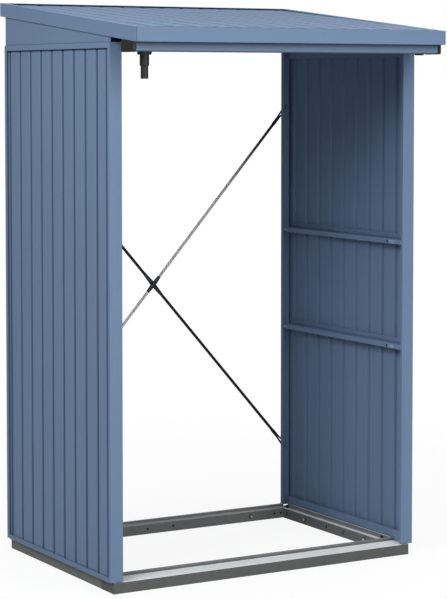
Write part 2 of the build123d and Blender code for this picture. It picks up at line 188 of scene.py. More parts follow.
class ShaderGraph:
    """Node tree of one material or of the world."""

    def __init__(self, name: str, owner: Optional[bpy.types.ID] = None) -> None:
        """Starts an empty tree.

        Args:
            name: the material's name.
            owner: the world, or None for a new material.
        """
        self.material = owner or bpy.data.materials.new(name)
        self.material.use_nodes = True
        self.tree = self.material.node_tree
        self.tree.nodes.clear()

    def node(
        self,
        kind: str,
        settings: Optional[Mapping[str, object]] = None,
        sockets: Optional[Mapping[Union[str, int], Value]] = None,
    ) -> bpy.types.Node:
        """Makes one node.

        Args:
            kind: the node's type.
            settings: its properties, which are set first.
            sockets: values or signals for its inputs.

        Returns:
            The node.
        """
        made = self.tree.nodes.new(kind)
        for name, value in (settings or {}).items():
            setattr(made, name, value)
        for name, value in (sockets or {}).items():
            if isinstance(value, Signal):
                self.tree.links.new(value.socket, made.inputs[name])
            else:
                made.inputs[name].default_value = value
        return made

    def out(self, made: bpy.types.Node, name: Union[str, int] = 0) -> Signal:
        """Output of a node as a signal."""
        return Signal(self, made.outputs[name])

    def place(self) -> Signal:
        """Position on the piece, in metres."""
        return self.out(self.node("ShaderNodeTexCoord"), "Object")

    def _part(self, vector: Signal, name: str) -> Signal:
        """One component of a vector: X, Y or Z."""
        return self.out(self.node("ShaderNodeSeparateXYZ", sockets={0: vector}), name)

    def axis(self, name: str) -> Signal:
        """One coordinate of the position: X, Y or Z."""
        return self._part(self.place(), name)

    def facing(self, name: str) -> Signal:
        """One component of the surface's own normal: X, Y or Z."""
        return self._part(self.out(self.node("ShaderNodeNewGeometry"), "Normal"), name)

    def noise(
        self, scale: float, detail: float = 2.0, roughness: float = 0.5,
        stretch: Point = (1.0, 1.0, 1.0),
    ) -> Signal:
        """Noise from 0 to 1 on the piece.

        Args:
            scale: repeats to the metre.
            detail: octaves.
            roughness: weight of the finer octaves.
            stretch: factor on each coordinate; a small one draws the noise out along that axis.

        Returns:
            The noise.
        """
        spread = self.node("ShaderNodeMapping", sockets={"Vector": self.place(), "Scale": stretch})
        sockets = {
            "Vector": self.out(spread), "Scale": scale, "Detail": detail, "Roughness": roughness,
        }
        return self.out(self.node("ShaderNodeTexNoise", sockets=sockets))

    def mix(self, share: Value, first: Value, second: Value) -> Signal:
        """Blend of two colours: share 0 gives the first, 1 the second."""
        made = self.node("ShaderNodeMix", {"data_type": "RGBA"}, {0: share, 6: first, 7: second})
        return self.out(made, 2)

    def between(self, share: Value, colour: Colour, darkest: float, lightest: float) -> Signal:
        """Blend of a darker and a lighter form of one colour, by their factors."""
        return self.mix(share, tone(colour, darkest), tone(colour, lightest))

    def blend(self, share: Value, first: bpy.types.Node, second: bpy.types.Node) -> bpy.types.Node:
        """Blend of two shaders: share 0 shows the first, 1 the second."""
        sockets = {0: share, 1: self.out(first), 2: self.out(second)}
        return self.node("ShaderNodeMixShader", sockets=sockets)

    def bump(self, height: Value, strength: float, distance: float) -> Signal:
        """Normal that a relief from 0 to 1 gives, by how much of it shows and its depth."""
        sockets = {"Height": height, "Strength": strength, "Distance": distance}
        return self.out(self.node("ShaderNodeBump", sockets=sockets))

    def openness(self, reach: float) -> Signal:
        """How open the surface lies: 0 deep in a crease, 1 with nothing else within reach."""
        made = self.node("ShaderNodeAmbientOcclusion", {"samples": 6}, {"Distance": reach})
        return self.out(made, "AO")

    def finish(self, sockets: Mapping[str, Value]) -> bpy.types.Material:
        """Ends the material in a principled surface.

        Args:
            sockets: values or signals for the surface.

        Returns:
            The material.
        """
        surface = self.node("ShaderNodeBsdfPrincipled", sockets=sockets)
        self.node("ShaderNodeOutputMaterial", sockets={"Surface": self.out(surface)})
        return self.material


COAT_BLUE = linear(119, 142, 173)
# colour of the painted shade that the bands and grooves of the powder coats take
SHADE_BLUE = linear(38, 58, 86)
WHITE = (1.0, 1.0, 1.0)


@dataclass(frozen=True)
class Band:
    """Band of painted shade across a finish, such as a sheet's edge that lies behind its frame.

    Attributes:
        axis: coordinate that it is measured along: X, Y or Z.
        low, high: where it starts and ends, in metres.
        share: share of the colour that it takes.
        soft: width of its soft borders, in metres.
    """

    axis: str
    low: float
    high: float
    share: float
    soft: float = 0.5 * MM

    def cover(self, graph: ShaderGraph) -> Signal:
        """Share that the band takes at each point.

        Args:
            graph: the material's graph.

        Returns:
            The share: that of the band inside it, 0 beyond its borders.
        """
        place = graph.axis(self.axis)
        inside = place.ramp(self.low - self.soft, self.low)
        return inside * (1 - place.ramp(self.high, self.high + self.soft)) * self.share


@dataclass(frozen=True)
class PowderCoat:
    """Satin powder coat on sheet steel, with a fine orange peel and slightly wavy flats.

    Attributes:
        name: the material's name.
        colour: its linear colour.
        roughness: its middle roughness.
        waviness: depth in metres of the long waves in the sheet.
        crease: share of the colour that painted shade takes deep in a wide crease.
        joint: share of the colour that painted shade takes in a narrow joint.
        bands: bands of painted shade.
        peel: depth in metres of the orange peel.
    """

    name: str
    colour: Colour
    roughness: float = 0.46
    waviness: float = 0.3 * MM
    crease: float = 0.7
    joint: float = 0.75
    bands: Sequence[Band] = ()
    peel: float = 0.08 * MM

    def make(self) -> bpy.types.Material:
        """Builds the material.

        Returns:
            The material.
        """
        graph = ShaderGraph(self.name)
        cloud = graph.noise(2.3, detail=3.0, roughness=0.55)
        fine = graph.noise(420.0, roughness=0.6)
        tint = graph.between(cloud * 0.75 + fine * 0.25, self.colour, 0.95, 1.05)
        # Painted shade: the bands, then the wide creases and narrow joints that ambient occlusion
        # finds, darken the colour.
        for shade in self.shades(graph):
            tint = graph.mix(shade, tint, tone(SHADE_BLUE))
        crease = 1 - graph.openness(30 * MM).ramp(0.15, 0.75)
        joint = 1 - graph.openness(8 * MM).ramp(0.3, 0.9)
        tint = graph.mix(crease * self.crease, tint, tone(self.colour, 0.18))
        tint = graph.mix(joint * self.joint, tint, tone(self.colour, 0.10))
        grain = graph.noise(310.0, detail=1.0, roughness=0.4)
        waves = graph.noise(5.0, detail=1.0, roughness=0.3, stretch=(1.0, 1.0, 0.45))
        relief = waves + grain * (self.peel / self.waviness)
        return graph.finish({
            "Base Color": tint,
            "Roughness": self.roughness - 0.05 + fine * 0.10,
            "Specular IOR Level": 0.15,
            "Normal": graph.bump(relief, 0.8, self.waviness),
        })

    def shades(self, graph: ShaderGraph) -> list[Signal]:
        """Shares of the colour that the bands of painted shade take."""
        return [band.cover(graph) for band in self.bands]


@dataclass(frozen=True)
class RibbedCoat(PowderCoat):
    """Powder coat of a side panel, with painted shade in the grooves and bands of its outer side.

    Attributes:
        face: distance in metres from the middle to the panel's outer face.
        groove: depth of its grooves in metres.
    """

    face: float = 0.0
    groove: float = 9.0 * MM

    def shades(self, graph: ShaderGraph) -> list[Signal]:
        """Painted shade in the outer grooves and bands, and on the inner side's forward flanks.

        Args:
            graph: the material's graph.

        Returns:
            Shares of the colour that they take.
        """
        side = graph.axis("X")
        outward = (graph.facing("X") * side).ramp(0.0, 0.05)
        # Painted shade: darker groove floors on the outer side, darker forward flanks on the inner
        # side.
        groove_shade = 1 - side.size().ramp(self.face - 0.6 * self.groove, self.face - 0.05 * self.groove)
        flank_shade = (graph.facing("Y") * -1).ramp(0.15, 0.5) * (1 - outward)
        return [flank_shade * 0.3, *(outward * shade for shade in (groove_shade * 0.6, *super().shades(graph)))]


@dataclass(frozen=True)
class RoofCoat(PowderCoat):
    """Powder coat of the roof sheet, with a little painted shade in its evenly spaced grooves.

    Attributes:
        pitch: distance from one groove to the next in metres, with two grooves beside the middle.
    """

    pitch: float = 84.6 * MM

    def shades(self, graph: ShaderGraph) -> list[Signal]:
        """Share of painted shade in the grooves, most where the squared cosine is zero."""
        wave = (graph.axis("X") * (math.pi / self.pitch)).cosine() ** 2
        return [(1 - wave.ramp(0.02, 0.16)) * 0.3]


@dataclass(frozen=True)
class GalvanisedSteel:
    """Galvanised steel with painted light on upward faces and painted shade on upright faces.

    Attributes:
        name: the material's name.
        bright: linear colour of the upward faces, which is painted light.
        dull: linear colour of the upright faces, which is painted shade.
        ledge: height in metres from which an upward face takes painted shade.
        rim: distance in metres from the middle from which a higher one takes painted light again.
        loss: share of its painted light that the higher face loses to painted shade.
    """

    name: str
    bright: Colour
    dull: Colour
    ledge: float
    rim: float = 1.0
    loss: float = 1.0

    def make(self) -> bpy.types.Material:
        """Builds the material.

        Returns:
            The material.
        """
        graph = ShaderGraph(self.name)
        # Painted light on upward faces; painted shade on upright faces and on higher ledges within
        # the rim.
        high = graph.axis("Z").ramp(self.ledge, self.ledge + 2 * MM)
        within = 1 - graph.axis("X").size().ramp(self.rim, self.rim + 1 * MM)
        upward = graph.facing("Z").ramp(0.35, 0.85) * (1 - high * within * self.loss)
        cells = graph.node(
            "ShaderNodeTexVoronoi", sockets={"Vector": graph.place(), "Scale": 85.0}
        )
        spangle = graph.node("ShaderNodeRGBToBW", sockets={0: graph.out(cells, "Color")})
        patch = graph.noise(9.0, detail=4.0, roughness=0.6) * 0.6 + graph.out(spangle) * 0.4
        bright = graph.between(patch, self.bright, 0.94, 1.04)
        dull = graph.between(patch, self.dull, 0.88, 1.14)
        relief = (patch + graph.noise(600.0, detail=1.0)) * (1 - upward)
        return graph.finish({
            "Base Color": graph.mix(upward, dull, bright),
            "Metallic": 0.2 - upward * 0.12,
            "Roughness": 0.42 + upward * 0.1 + patch * 0.1,
            "Specular IOR Level": 0.4,
            "Normal": graph.bump(relief, 0.25, 0.1 * MM),
        })


@dataclass(frozen=True)
class MouldedPlastic:
    """Dark moulded plastic with a fine erosion grain."""

    name: str
    colour: Colour
    roughness: float = 0.4

    def make(self) -> bpy.types.Material:
        """Builds the material.

        Returns:
            The material.
        """
        graph = ShaderGraph(self.name)
        grain = graph.noise(900.0, roughness=0.6)
        return graph.finish({
            "Base Color": graph.between(graph.noise(30.0), self.colour, 0.85, 1.2),
            "Roughness": self.roughness - 0.06 + grain * 0.12,
            "Specular IOR Level": 0.45,
            "Normal": graph.bump(grain, 0.5, 0.1 * MM),
        })


@dataclass(frozen=True)
class ZincPlate:
    """Bright zinc plate of screws and bolts, with the fine marks of the tool."""

    name: str
    colour: Colour

    def make(self) -> bpy.types.Material:
        """Builds the material.

        Returns:
            The material.
        """
        graph = ShaderGraph(self.name)
        marks = graph.noise(700.0, detail=3.0, roughness=0.6, stretch=(1.0, 1.0, 0.3))
        return graph.finish({
            "Base Color": graph.between(marks, self.colour, 0.85, 1.1),
            "Metallic": 0.35,
            "Roughness": 0.24 + marks * 0.16,
            "Normal": graph.bump(marks, 0.25, 0.05 * MM),
        })


@dataclass(frozen=True)
class WireRope:
    """Laid wire rope with painted shade in the valleys between the crowns of its strands.

    Attributes:
        name: the material's name.
        crown: linear colour of the crowns.
        dark: linear colour that the rope takes towards the far height.
        fade: heights in metres where it starts and ends to darken.
    """

    name: str
    crown: Colour
    dark: Colour
    fade: tuple[float, float]

    def make(self) -> bpy.types.Material:
        """Builds the material, which reads the "crown" attribute of the rope's mesh.

        Returns:
            The material.
        """
        graph = ShaderGraph(self.name)
        height = graph.node("ShaderNodeAttribute", {"attribute_name": "crown"})
        streaks = graph.noise(300.0, detail=3.0, roughness=0.6)
        # Painted shade: the colour darkens from the crowns into the valleys.
        metal = graph.between(graph.out(height, "Fac").ramp(0.0, 0.7), self.crown, 0.9, 1.0)
        worn = graph.mix(streaks * 0.3, metal, tone(self.crown, 0.8))
        return graph.finish({
            "Base Color": graph.mix(graph.axis("Z").ramp(*self.fade), worn, tone(self.dark)),
            "Specular IOR Level": 0.2,
            "Roughness": 0.5 + streaks * 0.16,
            "Normal": graph.bump(streaks, 0.3, 0.08 * MM),
        })


def box_of(node: str) -> np.ndarray:
    """Lowest and highest corner of a node of the frame, in metres."""
    return np.array([tuple(corner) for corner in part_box(node)])


class Finishes:
    """The finishes of the store, each built once."""

    def __init__(self) -> None:
        """Builds every finish."""
        self.frame = PowderCoat("coat_frame", COAT_BLUE, crease=0.5).make()
        self.panel = self._panel_coat().make()
        self.rail = PowderCoat("coat_rail", COAT_BLUE, crease=0.2).make()
        self.roof = RoofCoat("coat_roof", linear(121, 139, 166), waviness=0.5 * MM).make()
        self.trim = PowderCoat("coat_trim", COAT_BLUE).make()
        self.fascia = self._fascia_coat().make()
        self.gutter = self._gutter_coat().make()
        # Painted light and shade on the base rails: bright upward faces, shaded upright faces that
        # are darker still on the sill, and higher ledges that lose part of their painted light.
        zinc, dull, darker = linear(248, 249, 249), linear(132, 132, 130), linear(106, 107, 106)
        ledge = 40 * MM
        rim = box_of("right_wall_foot_rail")[0, 0] - 8 * MM
        self.sill = GalvanisedSteel("sill_zinc", zinc, darker, ledge, loss=0.8).make()
        self.base = GalvanisedSteel("base_zinc", zinc, dull, ledge, rim).make()
        self.rear = GalvanisedSteel("rear_zinc", zinc, dull, ledge / 2, loss=0.65).make()
        self.cap = MouldedPlastic("cap_plastic", linear(46, 42, 40), 0.5).make()
        self.outlet = MouldedPlastic("outlet_plastic", linear(38, 37, 37), 0.42).make()
        self.clip = MouldedPlastic("clip_plastic", linear(40, 41, 44)).make()
        self.sleeve = MouldedPlastic("sleeve_dark", linear(30, 31, 33)).make()
        self.plug = MouldedPlastic("plug_plastic", linear(10, 10, 11), 0.6).make()
        self.zinc = ZincPlate("zinc_bright", linear(240, 241, 243)).make()
        self.plate = PowderCoat("coat_plate", linear(150, 170, 198), 0.4, crease=0.0).make()
        pale, dark, black = linear(228, 228, 229), linear(48, 49, 52), linear(30, 31, 33)
        self.stays = {
            Stay.RISING: WireRope("rope_rising", pale, black, (1.22, 1.54)).make(),
            Stay.FALLING: WireRope("rope_falling", dark, black, (0.9, 1.3)).make(),
        }

    @staticmethod
    def _fascia_coat() -> PowderCoat:
        """Finish of the fascia, with painted shade along its joints with the verge trims.

        Returns:
            The finish.
        """
        end = box_of("roof_front_fascia")[1, 0]
        joints = (Band("X", -end, -end + 3 * MM, 0.55), Band("X", end - 3 * MM, end, 0.55))
        return PowderCoat("coat_fascia", COAT_BLUE, bands=joints)

    @staticmethod
    def _gutter_coat() -> PowderCoat:
        """Finish of the gutter, with painted shade under the fascia and along its lowest edge.

        Returns:
            The finish.
        """
        lip, floor = box_of("roof_front_fascia")[0, 2], box_of("gutter")[0, 2]
        shades = (
            Band("Z", lip - 8 * MM, lip + 4 * MM, 0.3),
            Band("Z", lip - 14 * MM, lip, 0.14),
            Band("Z", lip - 20 * MM, lip, 0.08),
            Band("Z", floor, floor + 3 * MM, 0.4),
        )
        return PowderCoat("coat_gutter", linear(125, 145, 171), crease=0.1, bands=shades)

    @staticmethod
    def _panel_coat() -> RibbedCoat:
        """Finish of the side panels, with painted shade along the frame that they lie behind.

        Returns:
            The finish.
        """
        front = box_of("left_front_post")[1, 1]
        rear = box_of("left_rear_post")[0, 1]
        top = box_of("left_wall_top_rail")[1, 2] - 18 * MM
        edges = (
            Band("Y", front + 9 * MM, front + 23 * MM, 0.6),
            Band("Y", rear - 12 * MM, rear, 0.25),
            Band("Z", top - 6 * MM, top, 0.7),
        )
        face = box_of("right_wall_panel")[1, 0]
        return RibbedCoat("coat_panel", COAT_BLUE, 0.48, 0.6 * MM, 0.1, 0.2, edges, face=face)


def dress(material: bpy.types.Material, *nodes: str) -> None:
    """Gives nodes of the frame their finish.

    Args:
        material: the finish.
        nodes: the nodes' names.
    """
    for node in nodes:
        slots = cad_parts[node].data.materials
        slots.clear()
        slots.append(material)


def in_scene(name: str, data: bpy.types.ID) -> bpy.types.Object:
    """Makes an object and puts it in the scene.

    Args:
        name: its name.
        data: its mesh, light or camera.

    Returns:
        The object.
    """
    made = bpy.data.objects.new(name, data)
    bpy.context.scene.collection.objects.link(made)
    return made


def profile(*points: tuple[float, float]) -> Profile:
    """Rows of a turned body, from their radii and heights in millimetres."""
    return tuple((radius * MM, height * MM) for radius, height in points)


def round_angles(columns: int) -> np.ndarray:
    """Angles of the columns round an outline, none of them on an axis."""
    return (np.arange(columns) + 0.5) * (2 * math.pi / columns)


def rounded_outline(half_width: Rows, half_height: Rows, radius: Rows) -> np.ndarray:
    """Rounded rectangle: a circle whose four quarters are pushed apart to the half sizes.

    Args:
        half_width, half_height: half sizes, a number or one for each row.
        radius: radius of the corners, a number or one for each row.

    Returns:
        Offsets of shape (rows, columns, 2).
    """
    angle = round_angles(columns=32)[None]
    wide, high, corner = (np.reshape(size, (-1, 1)) for size in (half_width, half_height, radius))
    along = corner * np.cos(angle) + (wide - corner) * np.sign(np.cos(angle))
    up = corner * np.sin(angle) + (high - corner) * np.sign(np.sin(angle))
    return np.stack(np.broadcast_arrays(along, up), axis=-1)


def hex_radius(across: float) -> np.ndarray:
    """Radius of a hexagon at each column of a turned body.

    Args:
        across: distance of its flats.

    Returns:
        Half that distance over the cosine of the angle from the middle of the nearest flat.
    """
    sixth = math.pi / 3
    turn = np.mod(round_angles(TURNED_COLUMNS), sixth) - sixth / 2
    return across / 2 / np.cos(turn)


def carried(path: np.ndarray, across: Point, over: Point, outline: np.ndarray) -> np.ndarray:
    """Grid of an outline along a path: each path point plus two offsets along its directions."""
    across, over = (np.broadcast_to(way, path.shape)[:, None] for way in (across, over))
    return path[:, None] + outline[..., :1] * across + outline[..., 1:] * over


def axes_between(start: np.ndarray, end: np.ndarray) -> Axes:
    """Directions of a line between two points of an upright plane along X.

    Args:
        start, end: its points.

    Returns:
        The way along the line, the way across it in the plane, and the way out of the plane, so
        that the second turned to the third goes to the left about the first.
    """
    along = (end - start) / np.linalg.norm(end - start)
    across = np.array([-along[2], 0.0, along[0]])
    return along, across, np.cross(along, across)


@dataclass
class Skin:
    """Closed surfaces that together make one piece.

    Attributes:
        points, crowns: points of each surface, and their heights on their strands from 0 to 1.
        faces: numbers of the points of each face.
        count: how many points there are.
    """

    points: list[np.ndarray] = field(default_factory=list)
    crowns: list[np.ndarray] = field(default_factory=list)
    faces: list[list[int]] = field(default_factory=list)
    count: int = 0

    def add(self, grid: np.ndarray, crown: Rows = 1.0) -> None:
        """Adds a tube of points, closed round its columns and capped at its first and last row.

        Args:
            grid: points of shape (rows, columns, 3); the columns turn left about the rows' way.
            crown: height on the strands from 0 to 1, one number or one for each column.
        """
        rows, columns, _ = grid.shape
        index = self.count + np.arange(rows * columns).reshape(rows, columns)
        beside = np.roll(index, -1, axis=1)
        quads = np.stack([index[:-1], beside[:-1], beside[1:], index[1:]], axis=-1)
        self.faces += quads.reshape(-1, 4).tolist()
        self.faces += [index[0, ::-1].tolist(), index[-1].tolist()]
        self.points.append(grid.reshape(-1, 3))
        self.crowns.append(np.broadcast_to(crown, (rows, columns)).reshape(-1))
        self.count += rows * columns

    def turned(self, place: Point, axis: Point, rows: Sequence[tuple[Rows, Rows]]) -> None:
        """Adds a body about an axis: at each angle, a row's point lies the row's radius away from
        the axis and its height along it.

        Args:
            place: where the axis starts.
            axis: its direction, one of the six along X, Y or Z.
            rows: radius and height of each row from low to high, each one number or one for each
                column.
        """
        way = np.asarray(axis, dtype=float)
        across = np.roll(np.abs(way), 1)
        angle = round_angles(TURNED_COLUMNS)[:, None]
        ring = np.cos(angle) * across + np.sin(angle) * np.cross(way, across)
        radii, heights = (
            np.stack([np.broadcast_to(row[part], TURNED_COLUMNS) for row in rows])[..., None]
            for part in (0, 1)
        )
        self.add(np.asarray(place) + radii * ring + heights * way)

    def object(
        self, name: str, material: bpy.types.Material, slot: str, crease: float = 35.0
    ) -> bpy.types.Object:
        """Makes the piece, which rides on the body.

        Args:
            name: the piece's name.
            material: its finish.
            slot: the record's material slot; it is not used.
            crease: angle in degrees from which an edge stays sharp.

        Returns:
            The piece.
        """
        mesh = bpy.data.meshes.new(name)
        mesh.from_pydata(np.concatenate(self.points).tolist(), [], self.faces)
        crowns = mesh.attributes.new("crown", "FLOAT", "POINT")
        crowns.data.foreach_set("value", np.concatenate(self.crowns))
        mesh.polygons.foreach_set("use_smooth", np.ones(len(mesh.polygons), dtype=bool))
        mesh.set_sharp_from_angle(angle=math.radians(crease))
        mesh.materials.append(material)
        piece = in_scene(name, mesh)
        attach(piece, BODY)
        LOG.info("made %s of %d faces", name, len(mesh.polygons))
        return piece


@dataclass(frozen=True)
class HexHead:
    """Hexagon head of a bolt, or a nut, whose corners are cut by a cone that ends in a flat.

    Attributes:
        across: distance of its flats.
        height: its height.
        flat: radius of the flat end, as a share of the distance of the flats.
        slope: fall of the cone towards the corners, as a share of the way out.
        edge: depth of the cone at the middle of each flat.
    """

    across: float
    height: float
    flat: float = 0.46
    slope: float = 0.58
    edge: float = 0.4 * MM

    def onto(self, skin: Skin, place: Point, axis: Point) -> None:
        """Adds the head: its upright sides end where the cone meets them.

        Args:
            skin: the surfaces it joins.
            place: middle of its seat.
            axis: the way it points.
        """
        corners = hex_radius(self.across)
        shoulder = self.height - (corners - self.across / 2) * self.slope - self.edge
        end = (self.flat * self.across, self.height)
        skin.turned(place, axis, [(corners, 0.0), (corners, shoulder), end])


@dataclass(frozen=True)
class SideWall:
    """One side wall: posts, rails, panel, gable and verge, with the plates on its inner rails.

    Attributes:
        side: which side it is.
        finishes: the finishes.
        plate_length, plate_height: sizes of the joint plate on an inner rail.
        plate_gauge, plate_corner: thickness of a plate and radius of its corners.
        plate_setback: distance from the rail's front end to the plate.
        tab_height: height of the tab between an inner rail and the rear post.
        rail_face: height of an inner rail's raised face.
        rivet: profile of a rivet's head.
        rivet_setback: distance from the rail's front end to the rivet.
    """

    side: Side
    finishes: Finishes
    plate_length: float = 32.0 * MM
    plate_height: float = 12.0 * MM
    plate_gauge: float = 1.2 * MM
    plate_corner: float = 2.0 * MM
    plate_setback: float = 40.0 * MM
    tab_height: float = 8.0 * MM
    rail_face: float = 17.0 * MM
    rivet: Profile = profile((4.0, 0.0), (4.0, 0.8), (2.8, 1.6), (1.2, 1.9))
    rivet_setback: float = 86.0 * MM

    coated = ("front_post", "rear_post", "wall_foot_rail", "wall_top_rail", "gable")

    def build(self) -> None:
        """Dresses the wall's nodes and adds plates and rivets."""
        side, finishes = self.side.word, self.finishes
        dress(finishes.frame, *(f"{side}_{piece}" for piece in self.coated))
        dress(finishes.panel, f"{side}_wall_panel")
        dress(finishes.trim, f"{side}_verge_trim")
        dress(finishes.cap, f"{side}_gutter_cap")
        plates, rivets = Skin(), Skin()
        for level in ("lower", "upper"):
            rail = f"{side}_{level}_inner_rail"
            dress(finishes.rail, rail)
            self._plates(plates, rivets, box_of(rail))
        plates.object(f"{side}_rail_plates", finishes.plate, "trim_steel")
        rivets.object(f"{side}_rail_rivets", finishes.plug, "black_plastic")

    def _plates(self, plates: Skin, rivets: Skin, rail: np.ndarray) -> None:
        """Adds the plate and the rivet near an inner rail's front end, and the tab behind it.

        Args:
            plates, rivets: the surfaces that they join.
            rail: the rail's box.
        """
        face = self.side.inner_face(rail)
        middle = rail[0, 2] + self.rail_face / 2
        front, rear = rail[:, 1]
        centre = front + self.plate_setback + self.plate_length / 2
        self._plate(plates, (face, centre, middle), self.plate_length / 2, self.plate_height / 2)
        # The tab starts half a gap before the rail's end and reaches the post.
        half_gap = (box_of(f"{self.side.word}_rear_post")[0, 1] - rear) / 2
        tab = (face, rear + half_gap / 2, middle)
        self._plate(plates, tab, 1.5 * half_gap, self.tab_height / 2)
        rivet = (face, front + self.rivet_setback, middle)
        rivets.turned(rivet, self.side.inward, self.rivet)

    def _plate(self, plates: Skin, place: Point, half_length: float, half_height: float) -> None:
        """Adds a flat plate with rounded corners that lies on a rail's face, towards the inside.

        Args:
            plates: the surfaces it joins.
            place: its middle, on the face.
            half_length, half_height: half its sizes along Y and Z.
        """
        inward = np.array(self.side.inward)
        path = np.asarray(place) + np.array([[0.0], [self.plate_gauge]]) * inward
        outline = rounded_outline(half_length, half_height, self.plate_corner)
        plates.add(carried(path, BACKWARD, np.cross(inward, BACKWARD), outline))


@dataclass(frozen=True)
class Roof:
    """Roof sheet, its trims, the beams under it and the gutter."""

    finishes: Finishes

    def build(self) -> None:
        """Gives the roof's nodes their finishes."""
        dress(self.finishes.roof, "roof_sheet")
        dress(self.finishes.fascia, "roof_front_fascia")
        dress(self.finishes.trim, "roof_rear_trim")
        dress(self.finishes.frame, "roof_front_beam", "roof_purlin", "roof_rear_beam")
        dress(self.finishes.gutter, "gutter")
        dress(self.finishes.outlet, "gutter_outlet", "gutter_outlet_spout")
        dress(self.finishes.plug, "gutter_plug")


@dataclass(frozen=True)
class BaseRing:
    """The four rails of the ring base, with bolts in their faces, black discs of painted shade
    over holes in them, and plugs in their ridges.

    Attributes:
        finishes: the finishes.
        bolt: head of a bolt.
        washer, screw, plug: profiles of a bolt's washer, a disc of painted shade and a plug.
        bolt_height, plug_height: heights of the bolts and shade discs, and of the plugs.
        rear_bolt: distance of the rear rail's bolts from the middle.
        rear_shade_discs: distances of its discs of painted shade from the middle.
        side_bolts, side_shade_discs, side_plugs: distances of these pieces from a side rail's
            front end, and from its rear end.
        side_ledge: width of a side rail's ledge, from its inner face to its ridge.
    """

    finishes: Finishes
    bolt: HexHead = HexHead(8.0 * MM, 5.0 * MM)
    washer: Profile = profile((7.6, 0.0), (7.6, 2.0), (7.2, 2.4))
    screw: Profile = profile((4.4, 0.0), (4.4, 0.7), (2.64, 1.3))
    plug: Profile = profile(
        (5.12, 0.0), (5.12, 1.5), (6.4, 2.5), (6.4, 5.5), (5.12, 7.0), (2.56, 7.8)
    )
    bolt_height: float = 20.0 * MM
    plug_height: float = 45.0 * MM
    rear_bolt: float = 399.0 * MM
    rear_shade_discs: Sequence[float] = (55.0 * MM, 508.0 * MM, 536.0 * MM)
    side_bolts: Sequence[Sequence[float]] = ((116.5 * MM,), (156.5 * MM,))
    side_shade_discs: Sequence[Sequence[float]] = ((257.0 * MM, 371.0 * MM), (29.0 * MM,))
    side_plugs: Sequence[Sequence[float]] = ((22.5 * MM,), (9.0 * MM,))
    side_ledge: float = 17.0 * MM

    def build(self) -> None:
        """Dresses the rails and adds bolts, black discs of painted shade and plugs."""
        dress(self.finishes.sill, "base_front_sill")
        dress(self.finishes.rear, "base_rear_rail")
        dress(self.finishes.base, "base_left_rail", "base_right_rail")
        bolts, plugs = Skin(), Skin()
        self._rear_rail(bolts, plugs)
        for side in Side:
            self._side_rail(bolts, plugs, side)
        bolts.object("base_bolts", self.finishes.zinc, "bright_steel")
        plugs.object("base_plugs", self.finishes.plug, "black_plastic")

    def _rear_rail(self, bolts: Skin, plugs: Skin) -> None:
        """Adds the bolts and the black discs of painted shade on the rear rail's inner face.

        Args:
            bolts, plugs: the bright and the black surfaces.
        """
        face = box_of("base_rear_rail")[0, 1]
        for sign in (-1, 1):
            self._bolt(bolts, plugs, (sign * self.rear_bolt, face, self.bolt_height), FORWARD)
            # Black discs over the rail's holes stand in for the shade inside them: painted shade.
            for away in self.rear_shade_discs:
                plugs.turned((sign * away, face, self.bolt_height), FORWARD, self.screw)

    def _side_rail(self, bolts: Skin, plugs: Skin, side: Side) -> None:
        """Adds the bolts, the black discs of painted shade and the plugs of one side rail.

        Args:
            bolts, plugs: the bright and the black surfaces.
            side: the rail's side.
        """
        rail = box_of(f"base_{side.word}_rail")
        face = side.inner_face(rail)
        ridge = face + side.value * self.side_ledge
        for y in self._along(rail, self.side_bolts):
            self._bolt(bolts, plugs, (face, y, self.bolt_height), side.inward)
        # Black discs over the rail's holes stand in for the shade inside them: painted shade.
        for y in self._along(rail, self.side_shade_discs):
            plugs.turned((face, y, self.bolt_height), side.inward, self.screw)
        for y in self._along(rail, self.side_plugs):
            plugs.turned((ridge, y, self.plug_height), side.inward, self.plug)

    @staticmethod
    def _along(rail: np.ndarray, setbacks: Sequence[Sequence[float]]) -> list[float]:
        """Places along Y at distances from the front and from the rear end of a rail's box."""
        front, rear = setbacks
        return [*(rail[0, 1] + away for away in front), *(rail[1, 1] - away for away in rear)]

    def _bolt(self, bolts: Skin, plugs: Skin, place: Point, axis: Point) -> None:
        """Adds a bright bolt head on a black washer; the black is painted shade round the head.

        Args:
            bolts, plugs: the bright and the black surfaces.
            place: point on the rail's face.
            axis: the way that the head points.
        """
        # The washer is a real part; its black colour is painted shade round the bolt head.
        plugs.turned(place, axis, self.washer)
        gauge = self.washer[-1][1]
        self.bolt.onto(bolts, np.asarray(place) + gauge * np.asarray(axis), axis)


@dataclass(frozen=True)
class EyeBolt:
    """Bolt through a rear post that holds an eye of the bracing.

    Attributes:
        finishes: the finishes.
        head: its head, and its nut.
        washer: profile of the washer under its head.
        bush: radius of the bush in the eye.
        recess: depth of the bush's end inside the nut.
    """

    finishes: Finishes
    head: HexHead = HexHead(13.0 * MM, 5.5 * MM)
    washer: Profile = profile((8.7, 0.0), (9.0, 0.3), (9.0, 1.3), (8.7, 1.6))
    bush: float = 4.0 * MM
    recess: float = 0.5 * MM

    def build(self, node: str, place: np.ndarray) -> None:
        """Builds the nut in front, the bush and washer round the eye, and the head behind.

        Args:
            node: the CAD node that the bolt stands for.
            place: point on its axis.
        """
        front, rear = box_of(node)[:, 1]
        seat = rear - self.head.height
        washer, bush = seat - self.washer[-1][1], front + self.recess
        nut, skin = Skin(), Skin()
        x, _, z = place
        self.head.onto(nut, (x, front + self.head.height, z), FORWARD)
        nut.object(f"{node}_nut", self.finishes.frame, "frame_steel")
        self.head.onto(skin, (x, seat, z), BACKWARD)
        skin.turned((x, washer, z), BACKWARD, self.washer)
        skin.turned((x, bush, z), BACKWARD, [(self.bush, 0.0), (self.bush, washer - bush)])
        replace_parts(skin.object(f"{node}_set", self.finishes.zinc, "bright_steel"), node)


